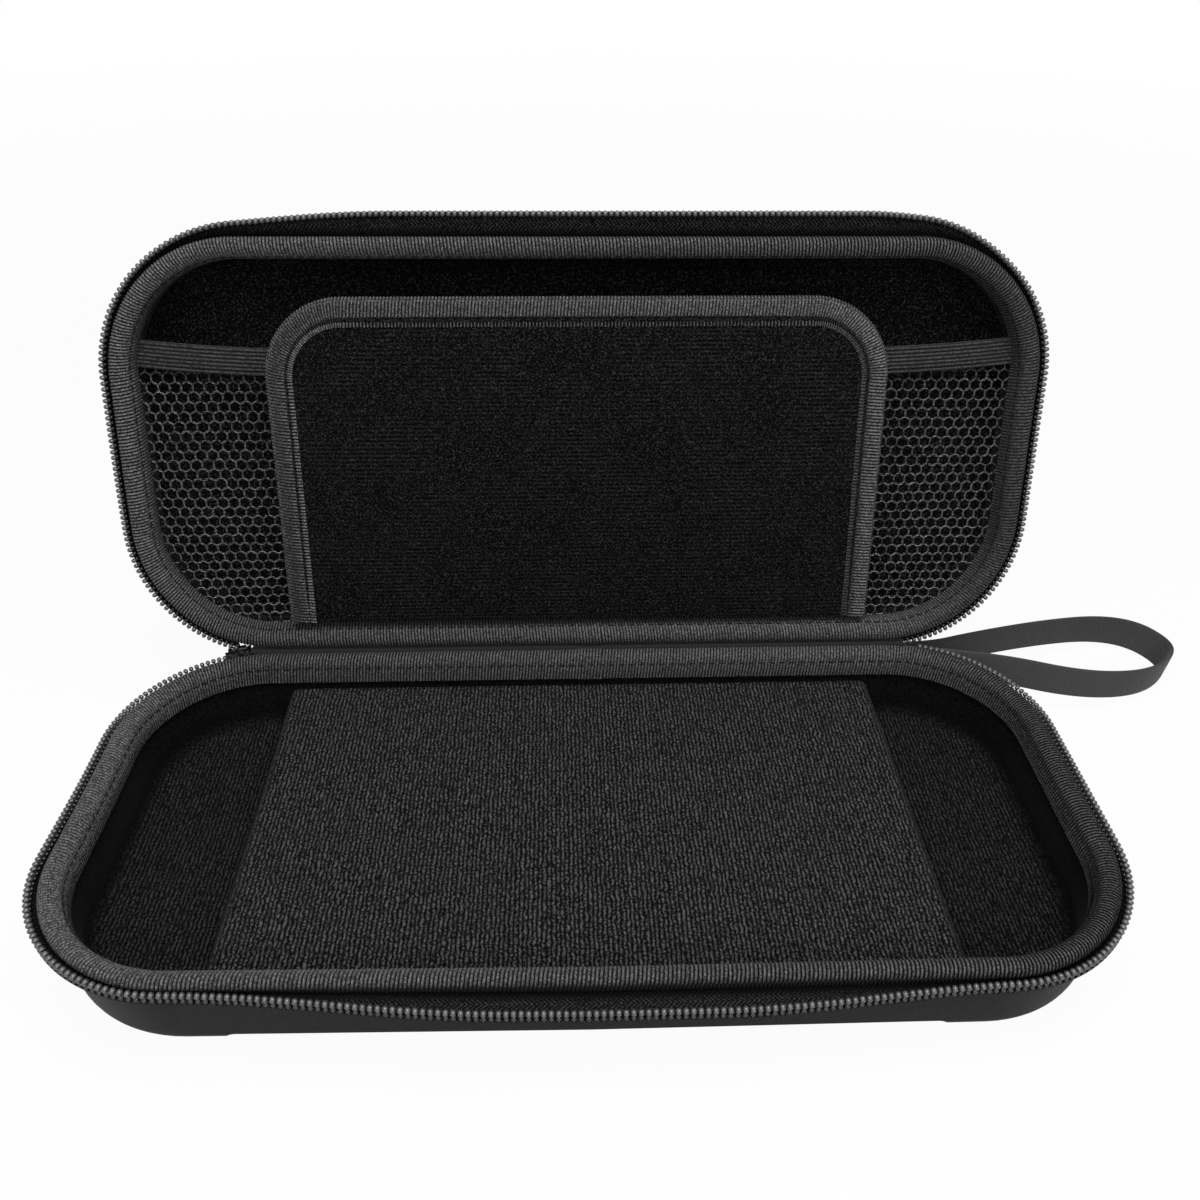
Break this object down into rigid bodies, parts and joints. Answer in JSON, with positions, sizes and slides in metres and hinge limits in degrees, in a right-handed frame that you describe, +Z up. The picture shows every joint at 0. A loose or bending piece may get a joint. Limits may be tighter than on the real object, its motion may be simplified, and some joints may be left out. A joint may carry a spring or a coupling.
{
  "type": "portable game console case",
  "caption": "Open zip-round moulded carry case for a handheld game console: bed with grip wells, net pocket and padded flap in the lid, wrist strap.",
  "frame": {"origin": "bottom centre of the open case's box, on the table", "axes": "+X to the right along the hinge, +Y to the back where the hinge is, +Z up"},
  "size_m": [0.3675, 0.1909, 0.1644],
  "materials": {
    "moulded_shell": "smooth dark fabric over moulded foam",
    "binding_tape": "ribbed woven tape",
    "zip_tape": "woven twill tape",
    "zip_coil": "glossy nylon coil",
    "hinge_fabric": "plain woven fabric",
    "webbing": "matt woven webbing",
    "net": "shiny open knit net",
    "elastic": "ribbed elastic",
    "velour": "short pile velour",
    "flap_tape": "plain woven tape",
    "slider_metal": "black enamel"
  },
  "bodies": {
    "base": {"base_shell": "moulded_shell", "base_binding": "binding_tape", "base_zip_tape": "zip_tape", "base_zip_coil": "zip_coil", "hinge_strip": "hinge_fabric", "wrist_strap": "webbing"},
    "lid": {"lid_shell": "moulded_shell", "lid_binding": "binding_tape", "lid_zip_tape": "zip_tape", "lid_zip_coil": "zip_coil", "mesh_pocket": "net", "pocket_elastic": "elastic"},
    "flap": {"flap_pad": "velour", "flap_binding": "flap_tape"},
    "slider": {"zip_slider": "slider_metal"},
    "pull": {"zip_pull": "slider_metal"}
  },
  "joints": [
    {"name": "lid_hinge", "type": "hinge", "parent": "base", "child": "lid", "pos_m": [0, 0.0444, 0.03], "axis": [1, 0, 0], "range_deg": [0, 103.87], "deforming": ["hinge_strip"]},
    {"name": "flap_hinge", "type": "hinge", "parent": "lid", "child": "flap", "pos_m": [0, 0.05193, 0.03587], "axis": [1, 0, 0], "range_deg": [0, 6]},
    {"name": "slider_travel", "type": "hinge", "parent": "base", "child": "slider", "pos_m": [-0.103, 0.0024, 0.03], "axis": [0, 0, 1], "range_deg": [0, 50]},
    {"name": "pull_swing", "type": "hinge", "parent": "slider", "child": "pull", "pos_m": [-0.11626, 0.04864, 0.02725], "axis": [0.9613, 0.2756, 0], "range_deg": [0, 60]}
  ]
}
